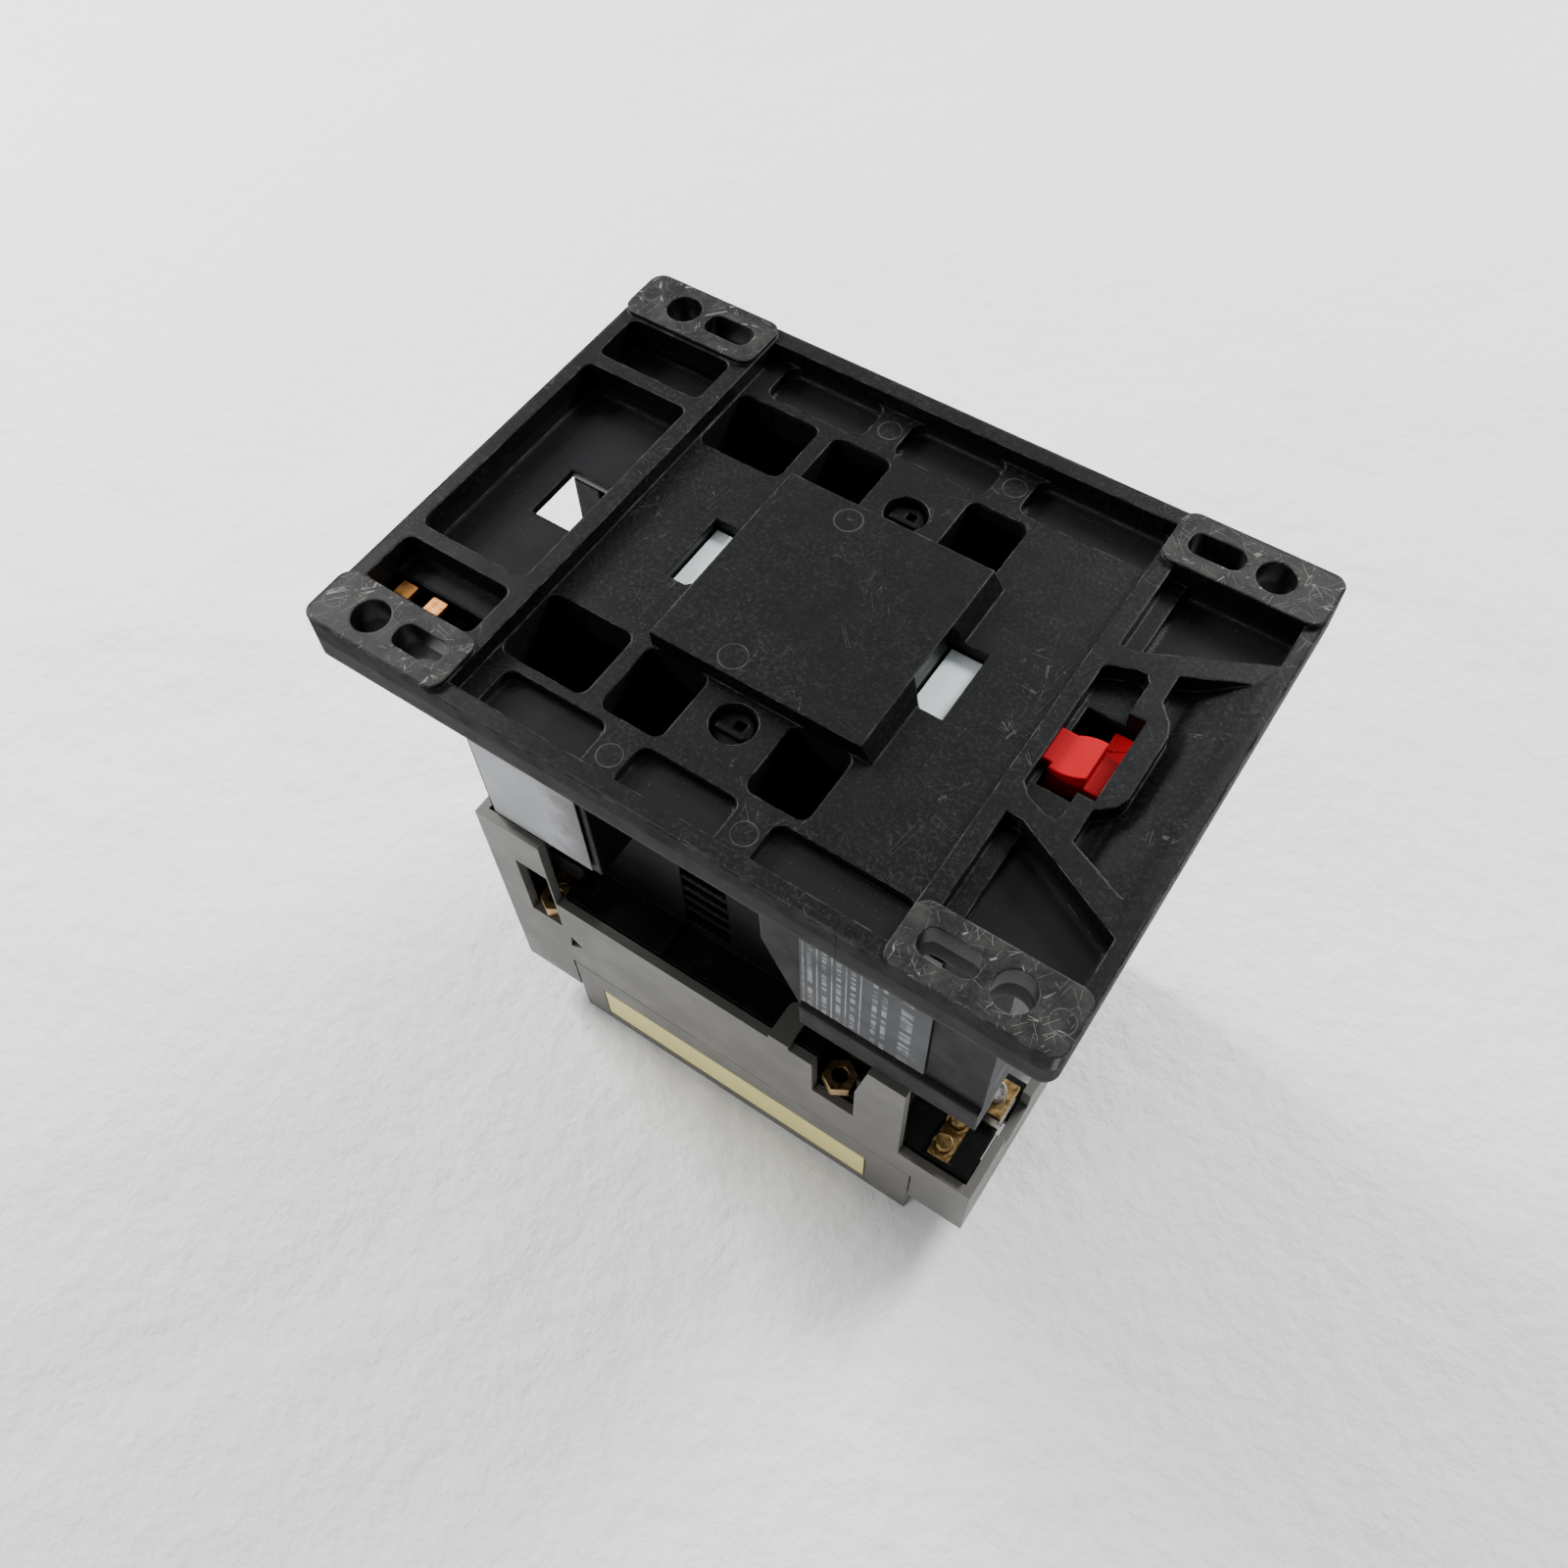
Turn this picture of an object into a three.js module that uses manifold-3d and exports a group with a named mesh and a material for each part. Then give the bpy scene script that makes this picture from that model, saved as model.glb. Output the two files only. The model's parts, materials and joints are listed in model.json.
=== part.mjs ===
// A three-pole DIN-rail contactor, lying on its front cover.
// Millimetres. +Z points out of the rear mounting face, X runs along the plate's long
// side (line terminals to load terminals) and Y along the rail.

import * as THREE from 'three';
import { mergeVertices } from 'three/addons/utils/BufferGeometryUtils.js';
import Module from 'manifold-3d';

const wasm = await Module();
wasm.setup();

// ---------------------------------------------------------------- driving dimensions

const overall = { height: 130 };
const gap = 0.3;                        // clearance left between two pieces that touch
const sides = [-1, 1];

const plate = {
  halfLength: 64.5,
  halfWidth: 45.5,
  cornerRadius: 2.5,
  top: overall.height,                  // the four corner pads
  rim: overall.height - 0.9,
  railFloor: overall.height - 4.1,
  bottom: overall.height - 8.7,
};

const railSeat = { halfLength: 37.8, halfWidth: 42.4 };
const pads = { inner: 38, nearSide: 34.6 };
const fixings = { x: 55, y: 40, radius: 3.15 };
const fixingSlots = { x: 45.4, y: 39.9, length: 9.1, width: 4.6 };
const centrePad = { halfLength: 18.6, halfWidth: 19, slopedFoot: 20.7 };
const wells = {
  spans: [[-37.5, -21.5], [-18.6, -7.4], [7.3, 18]],
  y: [19, 32.3],
  wall: 1,
  floor: overall.height - 21,
};
const stud = {
  y: 24,
  headRadius: 3.1,
  shankRadius: 1.35,
  recessRadius: 3.7,
  recessFloor: plate.bottom + 1.3,
};
const railWindow = { inner: centrePad.halfLength, outer: 25, halfWidth: 6.9, chamfer: 2.6 };

const coreHousing = {                   // the black upper body behind the poles
  left: -49.5,
  right: 54,
  halfWidth: 35.5,
  top: plate.bottom - gap,
  bottom: overall.height - 58,
  wall: 1.8,
};
const flankBottom = overall.height - 64;
const sideBay = {
  left: -24,
  right: 18.4,                          // narrows to rightTop above the slope
  rightTop: 11,
  slope: [overall.height - 61, overall.height - 43],
  halfWidth: 26.7,
  slot: [-13.5, -3.2],
};
const ridge = { left: 19, right: coreHousing.right, halfWidth: 36.6, z: [62.6, 72], radius: 1.6 };
const ledge = { left: -37.2, right: 40.2, halfWidth: 35.2, top: overall.height - 81, thickness: 3.6 };

const frontHousing = {                  // the grey frame round the poles
  left: -52.5,
  right: 57,
  halfWidth: 37.5,
  wall: 1.9,
  bottom: 9.8,
  shoulder: overall.height - 59,
  rightShoulder: overall.height - 68,
  endRim: 31,
};

const cover = { left: -38, right: 44.5, halfWidth: 37.5, top: 22, wall: 2 };

const poles = { count: 3, pitch: 19, barHalf: 3.8 };
const poleY = Array.from({ length: poles.count }, (_, i) => (i - (poles.count - 1) / 2) * poles.pitch);

const terminalX = [-45.4, 51.3];         // left and right, one screw per pole

const contacts = { fixedZ: 34, bridgeZ: 28, tipX: 13, cageFloor: 12 };
const magnet = { halfThickness: 6, outer: 20, legWidth: 5, centreHalf: 5.5, rear: 117.5, face: 88 };
const armature = { opening: 4.4, thickness: 12 };
armature.z = [magnet.face - armature.opening - armature.thickness, magnet.face - armature.opening];

// ---------------------------------------------------------------- shape helpers

function toSolid(geometry) {
  const bare = geometry.clone();
  bare.deleteAttribute('normal');
  bare.deleteAttribute('uv');
  const merged = mergeVertices(bare, 1e-4);
  return new wasm.Manifold(new wasm.Mesh({
    numProp: 3,
    vertProperties: merged.attributes.position.array,
    triVerts: merged.index.array,
  }));
}

function toGeometry(solid) {
  const mesh = solid.getMesh();
  const geometry = new THREE.BufferGeometry();
  geometry.setAttribute('position', new THREE.BufferAttribute(mesh.vertProperties, 3));
  geometry.setIndex(new THREE.BufferAttribute(mesh.triVerts, 1));
  geometry.computeVertexNormals();
  return geometry;
}

function block(x, y, z) {
  const [x0, x1] = [Math.min(...x), Math.max(...x)];
  const [y0, y1] = [Math.min(...y), Math.max(...y)];
  const [z0, z1] = [Math.min(...z), Math.max(...z)];
  const geometry = new THREE.BoxGeometry(x1 - x0, y1 - y0, z1 - z0);
  geometry.translate((x0 + x1) / 2, (y0 + y1) / 2, (z0 + z1) / 2);
  return toSolid(geometry);
}

function shapeOf(points) {
  return new THREE.Shape(points.map(([a, b]) => new THREE.Vector2(a, b)));
}

function roundedRect(a, b, radius) {
  const [a0, a1] = [Math.min(...a), Math.max(...a)];
  const [b0, b1] = [Math.min(...b), Math.max(...b)];
  const shape = new THREE.Shape();
  shape.moveTo(a0 + radius, b0);
  shape.lineTo(a1 - radius, b0);
  shape.absarc(a1 - radius, b0 + radius, radius, -Math.PI / 2, 0, false);
  shape.lineTo(a1, b1 - radius);
  shape.absarc(a1 - radius, b1 - radius, radius, 0, Math.PI / 2, false);
  shape.lineTo(a0 + radius, b1);
  shape.absarc(a0 + radius, b1 - radius, radius, Math.PI / 2, Math.PI, false);
  shape.lineTo(a0, b0 + radius);
  shape.absarc(a0 + radius, b0 + radius, radius, Math.PI, Math.PI * 1.5, false);
  return shape;
}

function extruded(shape, length, segments) {
  return new THREE.ExtrudeGeometry(shape, { depth: length, bevelEnabled: false, curveSegments: segments });
}

// section given as [y, z] points
function prismX(shape, x, segments = 4) {
  const geometry = extruded(shape, x[1] - x[0], segments);
  geometry.rotateX(Math.PI / 2);
  geometry.rotateZ(Math.PI / 2);
  geometry.translate(x[0], 0, 0);
  return toSolid(geometry);
}

function prismZ(shape, z, segments = 4) {
  const geometry = extruded(shape, z[1] - z[0], segments);
  geometry.translate(0, 0, z[0]);
  return toSolid(geometry);
}

// profile given as [x, z] points
function prismY(shape, y, segments = 4) {
  const [y0, y1] = [Math.min(...y), Math.max(...y)];
  const geometry = extruded(shape, y1 - y0, segments);
  geometry.rotateX(Math.PI / 2);
  geometry.translate(0, y1, 0);
  return toSolid(geometry);
}

function postZ(x, y, radius, z, segments = 20) {
  const geometry = new THREE.CylinderGeometry(radius, radius, z[1] - z[0], segments);
  geometry.rotateX(Math.PI / 2);
  geometry.translate(x, y, (z[0] + z[1]) / 2);
  return toSolid(geometry);
}

function joined(solids) {
  return solids.reduce((all, next) => all.add(next));
}

function cutBy(solid, tools) {
  return tools.reduce((rest, tool) => rest.subtract(tool), solid);
}

// closed round-wire helix about Z, with flat end caps
function coilSpring(x, y, z, radius, wire, turns) {
  const stepsPerTurn = 9;
  const around = 5;
  const steps = turns * stepsPerTurn;
  const positions = [];
  const index = [];
  for (let i = 0; i <= steps; i += 1) {
    const angle = (i / stepsPerTurn) * Math.PI * 2;
    const height = z[0] + wire + (z[1] - z[0] - 2 * wire) * (i / steps);
    for (let j = 0; j < around; j += 1) {
      const turn = (j / around) * Math.PI * 2;
      const r = radius + wire * Math.cos(turn);
      positions.push(x + r * Math.cos(angle), y + r * Math.sin(angle), height + wire * Math.sin(turn));
    }
  }
  for (let i = 0; i < steps; i += 1) {
    for (let j = 0; j < around; j += 1) {
      const a = i * around + j;
      const b = i * around + ((j + 1) % around);
      index.push(a, a + around, b, b, a + around, b + around);
    }
  }
  for (let j = 1; j < around - 1; j += 1) {
    index.push(0, j, j + 1);
    index.push(steps * around, steps * around + j + 1, steps * around + j);
  }
  const geometry = new THREE.BufferGeometry();
  geometry.setAttribute('position', new THREE.Float32BufferAttribute(positions, 3));
  geometry.setIndex(index);
  return toSolid(geometry);
}

// ---------------------------------------------------------------- materials and naming

const finishes = {
  blackPlastic: [0x232426, 0.55, 0],
  greyPlastic: [0x6a6a6d, 0.5, 0],
  palePlastic: [0xc8d2d2, 0.5, 0],
  redPlastic: [0xe13c41, 0.4, 0],
  yellowPlastic: [0xbeb478, 0.5, 0],
  silverLabel: [0xa9abad, 0.35, 0],
  ratingLabel: [0x7c7f82, 0.35, 0],
  brass: [0xaa8246, 0.35, 1],
  copper: [0xb46e28, 0.4, 1],
  silverContact: [0xc8c8c4, 0.3, 1],
  steel: [0x8d9093, 0.4, 1],
};

const group = new THREE.Group();
group.name = 'din_rail_contactor';

function add(name, solid, finish) {
  const [color, roughness, metalness] = finishes[finish];
  const material = new THREE.MeshStandardMaterial({ color, roughness, metalness });
  const mesh = new THREE.Mesh(toGeometry(solid), material);
  mesh.name = name;
  group.add(mesh);
}

// ---------------------------------------------------------------- rear plate

function plateBlank() {
  const outline = roundedRect([-plate.halfLength, plate.halfLength], [-plate.halfWidth, plate.halfWidth],
    plate.cornerRadius);
  const cornerPads = [];
  for (const sx of sides) {
    for (const sy of sides) {
      const x = [sx * pads.inner, sx * plate.halfLength];
      const y = [sy * pads.nearSide, sy * plate.halfWidth];
      const pad = roundedRect(x, y, plate.cornerRadius);
      cornerPads.push(prismZ(pad, [plate.rim - 1, plate.top]));
    }
  }
  return joined([prismZ(outline, [plate.bottom, plate.rim]), ...cornerPads]);
}

function railSeatCut() {
  const { halfLength, halfWidth } = railSeat;
  const floor = block([-halfLength, halfLength], [-halfWidth, halfWidth], [plate.railFloor, plate.top + 1]);
  const pad = prismY(shapeOf([
    [-centrePad.halfLength, plate.railFloor - 1],
    [centrePad.slopedFoot, plate.railFloor - 1],
    [centrePad.slopedFoot, plate.railFloor],
    [centrePad.halfLength, plate.rim],
    [-centrePad.halfLength, plate.rim],
  ]), [-centrePad.halfWidth, centrePad.halfWidth]);
  return floor.subtract(pad);
}

function wellBoxes() {
  return wells.spans.flatMap(([x0, x1]) => sides.map((s) => block(
    [x0 - wells.wall, x1 + wells.wall],
    [s * (wells.y[0] - wells.wall), s * (wells.y[1] + wells.wall)],
    [wells.floor - wells.wall, plate.bottom + 1],
  )));
}

function wellCuts() {
  return wells.spans.flatMap(([x0, x1]) => sides.map((s) => prismZ(
    roundedRect([x0, x1], [s * wells.y[0], s * wells.y[1]], 1.8), [wells.floor, plate.top + 1], 3,
  )));
}

function fixingCuts() {
  const through = [plate.bottom - 1, plate.top + 1];
  const cuts = [];
  for (const sx of sides) {
    for (const sy of sides) {
      cuts.push(postZ(sx * fixings.x, sy * fixings.y, fixings.radius, through, 24));
      const slotX = sides.map((end) => sx * fixingSlots.x + end * fixingSlots.length / 2);
      const slotY = sides.map((edge) => sy * fixingSlots.y + edge * fixingSlots.width / 2);
      cuts.push(prismZ(roundedRect(slotX, slotY, 1.9), through, 3));
    }
  }
  return cuts;
}

function studCuts() {
  return sides.flatMap((s) => [
    postZ(0, s * stud.y, stud.recessRadius, [stud.recessFloor, plate.top], 24),
    postZ(0, s * stud.y, stud.shankRadius + 0.4, [plate.bottom - 1, plate.top], 16),
  ]);
}

function edgePocketCuts() {
  const spans = [[-34, -15], [-9, 8.5], [14.5, 37.8]];
  return spans.flatMap((span) => sides.map((s) => prismZ(
    roundedRect(span, [s * 34, s * railSeat.halfWidth], 1.9), [plate.railFloor - 2.1, plate.top], 3,
  )));
}

// five-sided window beside the centre pad, or a plug that fills it with the given clearance
function railWindowPrism(s, z, clearance = 0) {
  const { inner, outer, halfWidth, chamfer } = railWindow;
  const x0 = inner + clearance;
  const x1 = outer - clearance;
  const y = halfWidth - clearance;
  const outline = [
    [s * x0, y], [s * x1, y], [s * x1, -y], [s * (x0 + chamfer), -y], [s * x0, chamfer - y],
  ];
  return prismZ(shapeOf(s > 0 ? outline : outline.reverse()), z);
}

function railWindowCuts() {
  return sides.map((s) => railWindowPrism(s, [plate.bottom - 1, plate.top]));
}

function leftEndCuts() {
  const x = [-61.8, -40.9];
  const floor = plate.bottom + 1.7;
  return [
    prismZ(roundedRect(x, [24.1, 34.2], 1.6), [floor, plate.top], 3),
    prismZ(roundedRect(x, [-21.4, 21.4], 1.6), [floor, plate.top], 3),
    prismZ(roundedRect(x, [-34.2, -24.1], 1.6), [floor + 1.5, plate.top], 3),
    block([-61.8, -42.5], [-33.9, -28.6], [plate.bottom - 1, plate.top]),
    block([-53.1, -42.6], [-6.3, 4.5], [plate.bottom - 1, plate.top]),
  ];
}

// two pockets, each with a shelf along the rail seat, and the recess between them
function rightEndCuts() {
  const floor = plate.bottom + 2.4;
  const shelf = block([40, 43.8], [-35, 35], [floor - 1, plate.railFloor]);
  const pockets = sides.map((s) => {
    const outline = [
      [40.9, s * 16.9], [43.4, s * 16.9], [62.1, s * 26], [62.1, s * 34.6], [40.9, s * 34.6],
    ];
    return prismZ(shapeOf(s > 0 ? outline : outline.reverse()), [floor, plate.top]);
  });
  return [...pockets.map((pocket) => cutBy(pocket, [shelf])), recessCut()];
}

// recess beside the latch, with a floor that rises to the rim near the plate's end
function recessCut() {
  const outline = shapeOf([
    [50.7, -10.4], [53.2, -8.3], [54, -6.2], [54, 6], [53.2, 8.3], [50.7, 11], [50.7, 16.4],
    [60.3, 20.9], [61.5, 20.9], [61.5, -20.2], [60, -20.2], [50.7, -16.2],
  ]);
  const ramp = prismY(shapeOf([
    [53.6, plate.railFloor - 1], [62, plate.railFloor - 1], [62, plate.rim], [60.5, plate.rim],
    [53.6, plate.railFloor],
  ]), [-22, 22]);
  return cutBy(prismZ(outline, [plate.railFloor, plate.top]), [ramp]);
}

const latch = {
  window: { x: [41.5, 50.3], y: [-9, 6.7] },
  barZ: [plate.bottom + 0.7, plate.bottom + 3.2],
  channelTop: plate.bottom + 3.5,
};

function latchCuts() {
  const pocket = shapeOf([
    [40.6, -11.4], [42.3, -13.1], [45.6, -14.5], [47, -14.4], [47.6, -13.2], [47.6, 13],
    [46.7, 14.2], [45.2, 14.2], [41.2, 12.6], [40.6, 11.8],
  ]);
  return [
    prismZ(pocket, [plate.railFloor, plate.top]),
    block(latch.window.x, latch.window.y, [plate.bottom - 1, plate.top]),
    block([latch.window.x[0], 62], [-7.4, 7], [plate.bottom - 1, latch.channelTop]),
    block([37, 42], [-5.9, 0.9], [plate.railFloor, plate.railFloor + 1.9]),
  ];
}

function rearPlate() {
  const shell = plateBlank().subtract(railSeatCut()).add(joined(wellBoxes()));
  return cutBy(shell, [
    ...wellCuts(), ...fixingCuts(), ...studCuts(), ...edgePocketCuts(), ...railWindowCuts(),
    ...leftEndCuts(), ...rightEndCuts(), ...latchCuts(),
  ]);
}

function dinLatch() {
  const head = new THREE.Shape();
  head.moveTo(41.9, -6.5);
  head.quadraticCurveTo(44.8, -6.9, 47.3, -5.4);
  head.lineTo(47.3, 1.6);
  head.quadraticCurveTo(44.6, 1.7, 42.6, 0.2);
  head.lineTo(41.9, -6.5);
  return joined([
    prismZ(head, [latch.barZ[0], plate.railFloor + 1.5], 5),
    block([45, 54], [-5.4, 1.6], latch.barZ),
    block([46.8, 50.6], [0, 5.8], latch.barZ),
    block([54, 58.4], [-5.4, -2.6], latch.barZ),
    block([54, 58.4], [1.4, 4.2], latch.barZ),
    block([50, 54.2], [0, 4.2], latch.barZ),
    block([38, 43], [-5.5, 0.5], [plate.railFloor + 0.2, plate.railFloor + 1.5]),
  ]);
}

function latchSpring() {
  const spring = coilSpring(0, 0, [54.5, 61.7], 1.05, 0.22, 6);
  return spring.rotate([0, 90, 0]).translate([0, -0.6, plate.bottom + 1.9]);
}

// black turn stud: round head with a grip bar and a square pit beside it
function plateStud(y) {
  const headTop = stud.recessFloor + 1.8;
  const body = joined([
    postZ(0, y, stud.shankRadius, [104, stud.recessFloor + 1], 12),
    postZ(0, y, stud.headRadius, [stud.recessFloor + gap, headTop], 20),
    block([-2.5, 2.5], [y - 1.4, y - 0.4], [headTop - 1, headTop + 0.9]),
  ]);
  return body.subtract(block([-0.3, 1.3], [y + 0.2, y + 1.8], [headTop - 1.1, headTop + 1]));
}

function slottedScrew(x, y, shank, head, slotDepth) {
  const body = joined([
    postZ(x, y, shank.radius, shank.z, 12),
    postZ(x, y, head.radius, head.z, 16),
  ]);
  const facesUp = head.z[1] > shank.z[1];
  const mouth = facesUp ? [head.z[1] - slotDepth, head.z[1] + 1] : [head.z[0] - 1, head.z[0] + slotDepth];
  return body.subtract(block([x - head.radius - 1, x + head.radius + 1], [y - 0.5, y + 0.5], mouth));
}

// ---------------------------------------------------------------- upper body and magnet

function coreHousingShell() {
  const { left, right, halfWidth, top, bottom, wall } = coreHousing;
  const seat = ledge.top;
  const outer = joined([
    block([left, right], [-halfWidth, halfWidth], [bottom, top]),
    block([-53, left + 1], [-20, 20], [bottom, top]),
    block([sideBay.rightTop, right], [-halfWidth, halfWidth], [flankBottom, top]),
    block([ledge.left, ledge.right], [-sideBay.halfWidth, sideBay.halfWidth], [seat - ledge.thickness, top]),
    block([ledge.left, ledge.right], [-ledge.halfWidth, ledge.halfWidth], [seat - ledge.thickness, seat]),
  ]);
  const full = [-halfWidth + wall, halfWidth - wall];
  const above = [bottom + wall, top + 1];
  const inside = joined([
    block([left + wall + 4, right - wall], [-25, 25], above),
    block([ledge.left + wall, ledge.right - wall], [-25, 25], [seat, top + 1]),
    block([left + wall, sideBay.left - wall], full, above),
    block([sideBay.right + wall, right - wall], full, above),
  ]);
  const notch = block([-54, -45.2], [-7, 4.5], [bottom - 1, top + 1]);
  const notchWall = block([-45.4, -43.6], [-9, 6.3], [bottom, top]);
  const body = cutBy(outer, [inside, ...sideBayCuts()]).add(notchWall).subtract(notch);
  const bosses = sides.map((s) => block([-3.1, 3.4], [s * 20.8, s * 27.4], [96, top]));
  const ribs = sides.map((s) => block([-14.6, -13.4], [s * 26, s * ledge.halfWidth], [seat - 1, seat + 0.9]));
  const carrierWay = block([-9.5, 9.5], [-16, 16], [seat - ledge.thickness - 1, seat + 1]);
  const slots = sides.map((s) => block(sideBay.slot, [s * 24, s * 28], [seat + 1.6, top + 1]));
  const studHoles = sides.map((s) => postZ(0, s * stud.y, stud.shankRadius + gap, [100, top + 1], 12));
  return cutBy(body.add(joined([...bosses, ...ribs, ...lowerRidges(), ...lineEndCorners()])), [
    carrierWay, ...slots, ...studHoles, ...wellClearance(), ...nutPockets(),
  ]).add(joined(louvres()));
}

// open bay in each flank, its load side sloping
function sideBayCuts() {
  const { left, right, rightTop, slope, halfWidth } = sideBay;
  const above = coreHousing.top + 1;
  const profile = shapeOf([
    [left, ledge.top], [right, ledge.top], [right, slope[0]], [rightTop, slope[1]],
    [rightTop, above], [left, above],
  ]);
  return sides.map((s) => prismY(profile, [s * halfWidth, s * (coreHousing.halfWidth + 1)]));
}

// wall and shelf that close the line end behind each nut
function lineEndCorners() {
  const x = [-45, ledge.left + 1];
  return sides.flatMap((s) => [
    block(x, [s * 24, s * sideBay.halfWidth], [ledge.top - ledge.thickness, coreHousing.bottom + 1]),
    block(x, [s * 24, s * 29.8], [ledge.top - ledge.thickness, ledge.top + 3]),
  ]);
}

// bars across the slot in each bay
function louvres() {
  const [x0, x1] = sideBay.slot;
  const heights = [0, 1, 2, 3].map((i) => ledge.top + 6 + 4.2 * i);
  return sides.flatMap((s) => heights.map(
    (z) => block([x0 - 0.5, x1 + 0.5], [s * 25.1, s * 26.4], [z, z + 1.4]),
  ));
}

// rounded ridges that run below the flank labels to the load end
function lowerRidges() {
  return sides.map((s) => prismX(
    roundedRect([s * 30, s * ridge.halfWidth], ridge.z, ridge.radius), [ridge.left, ridge.right], 4,
  ));
}

function wellClearance() {
  return wells.spans.flatMap(([x0, x1]) => sides.map((s) => block(
    [x0 - wells.wall - gap, x1 + wells.wall + gap],
    [s * (wells.y[0] - wells.wall - gap), s * (wells.y[1] + wells.wall + gap)],
    [wells.floor - wells.wall - gap, plate.top],
  )));
}

// brass hex nuts, held in square pockets at one end of the ledge and on blocks at the other
const nuts = {
  acrossFlats: 6,
  hole: 1.6,
  z: [overall.height - 91, overall.height - 88],
  y: 33.9,
  x: [-41.8, 26],
};

function nutPockets() {
  const x = [nuts.x[1] - 4.3, nuts.x[1] + 4.3];
  return sides.map((s) => block(x, [s * 30.2, s * 36], [nuts.z[0] - gap, ledge.top + 1]));
}

function hexNut(x, y) {
  const corner = nuts.acrossFlats / Math.sqrt(3);
  const geometry = new THREE.CylinderGeometry(corner, corner, nuts.z[1] - nuts.z[0], 6);
  geometry.rotateX(Math.PI / 2);
  geometry.translate(x, y, (nuts.z[0] + nuts.z[1]) / 2);
  return toSolid(geometry).subtract(postZ(x, y, nuts.hole, [nuts.z[0] - 1, nuts.z[1] + 1], 12));
}

function eCore(z, legTip) {
  const { halfThickness, outer, legWidth, centreHalf } = magnet;
  const x = [-halfThickness, halfThickness];
  const legZ = [Math.min(legTip, z[0] + 1, z[1] - 1), Math.max(legTip, z[0] + 1)];
  return joined([
    block(x, [-outer, outer], z),
    block(x, [-centreHalf, centreHalf], legZ),
    ...sides.map((s) => block(x, [s * (outer - legWidth), s * outer], legZ)),
  ]);
}

function armatureBar() {
  const { halfThickness, outer } = magnet;
  return block([-halfThickness, halfThickness], [-outer, outer], armature.z);
}

const bobbin = { z: [89.5, 105.5], flange: 1.4, tube: 1, halfX: 15.5, halfY: 14.4, ears: [17, 27] };

function coilBobbin() {
  const hole = [magnet.halfThickness + 0.4, magnet.centreHalf + 0.4];
  const tube = hole.map((v) => v + bobbin.tube);
  const [z0, z1] = bobbin.z;
  const flangeX = [bobbin.halfX, bobbin.ears[1]];
  const parts = [
    block([-tube[0], tube[0]], [-tube[1], tube[1]], bobbin.z),
    block([-flangeX[0], flangeX[0]], [-bobbin.halfY, bobbin.halfY], [z0, z0 + bobbin.flange]),
    block([-flangeX[1], flangeX[1]], [-bobbin.halfY, bobbin.halfY], [z1 - bobbin.flange, z1]),
    ...sides.map((s) => block([s * bobbin.ears[0], s * bobbin.ears[1]], [-bobbin.halfY, bobbin.halfY],
      [z1 - bobbin.flange, plate.bottom - 0.5])),
    ...sides.map((s) => railWindowPrism(s, [plate.bottom - 1, plate.bottom + 2.3], gap)),
  ];
  return joined(parts).subtract(block([-hole[0], hole[0]], [-hole[1], hole[1]], [z0 - 1, z1 + 1]));
}

function coilWinding() {
  const inner = [magnet.halfThickness + 0.7 + bobbin.tube, magnet.centreHalf + 0.7 + bobbin.tube];
  const z = [bobbin.z[0] + bobbin.flange + gap, bobbin.z[1] - bobbin.flange - gap];
  const outer = prismZ(roundedRect([-14.6, 14.6], [-13.6, 13.6], 3), z);
  return outer.subtract(block([-inner[0], inner[0]], [-inner[1], inner[1]], [z[0] - 1, z[1] + 1]));
}

const coilTab = { x: [-58.6, -52.4], halfWidth: 1.5, top: plate.bottom + 2.6, thickness: 0.9 };

// a strip folded over at the top, standing on a foot inside its block
function coilTabStrip(x) {
  const { halfWidth, top, thickness } = coilTab;
  const across = [x - halfWidth, x + halfWidth];
  return joined([
    block(across, [-31.7, -31.7 + thickness], [100, top]),
    block(across, [-31.7, -28.9], [top - thickness, top]),
    block(across, [-31.7, -27.4], [100, 100 + thickness]),
  ]);
}

function coilTerminalBlock() {
  const body = block([-63, coreHousing.left - 0.4], [-34.4, -26.4], [97, plate.bottom - gap]);
  const half = coilTab.halfWidth + gap;
  const pits = coilTab.x.map((x) => block([x - half, x + half], [-32, -27.1], [100 - gap, plate.top]));
  return cutBy(body, pits);
}

// ---------------------------------------------------------------- moving contact system

const cage = { halfX: 4.6, innerY: 4.2, outerY: 5.8 };

function contactCarrier() {
  const barTop = 41;
  const flange = block([-14, 14], [-5, 5], [armature.z[0] - gap - 2, armature.z[0] - gap]);
  const stem = block([-7.5, 7.5], [-14, 14], [40, armature.z[0] - gap]);
  const bar = block([-6, 6], [-poles.pitch - cage.outerY, poles.pitch + cage.outerY], [37.2, barTop]);
  const cageX = [-cage.halfX, cage.halfX];
  const cages = poleY.flatMap((y) => [
    ...sides.map((s) => block(cageX, [y + s * cage.innerY, y + s * cage.outerY], [contacts.cageFloor, 38])),
    block(cageX, [y - cage.outerY, y + cage.outerY], [contacts.cageFloor, contacts.cageFloor + 1.6]),
  ]);
  return joined([stem, flange, bar, ...cages]);
}

function bridge(y) {
  const z = contacts.bridgeZ;
  const { tipX } = contacts;
  return joined([
    block([-tipX - 3, tipX + 3], [y - 3.6, y + 3.6], [z - 1.6, z]),
    ...sides.map((s) => block([s * (tipX - 2.2), s * (tipX + 2.2)], [y - 2.6, y + 2.6], [z - 0.5, z + 0.9])),
  ]);
}

function contactSpring(y) {
  return coilSpring(0, y, [contacts.cageFloor + 1.7, contacts.bridgeZ - 1.7], 2.9, 0.4, 5);
}

function returnSpring(s) {
  return coilSpring(s * 10.6, 0, [armature.z[0] - gap + 0.1, bobbin.z[0] - 0.1], 2.9, 0.35, 6);
}

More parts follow.
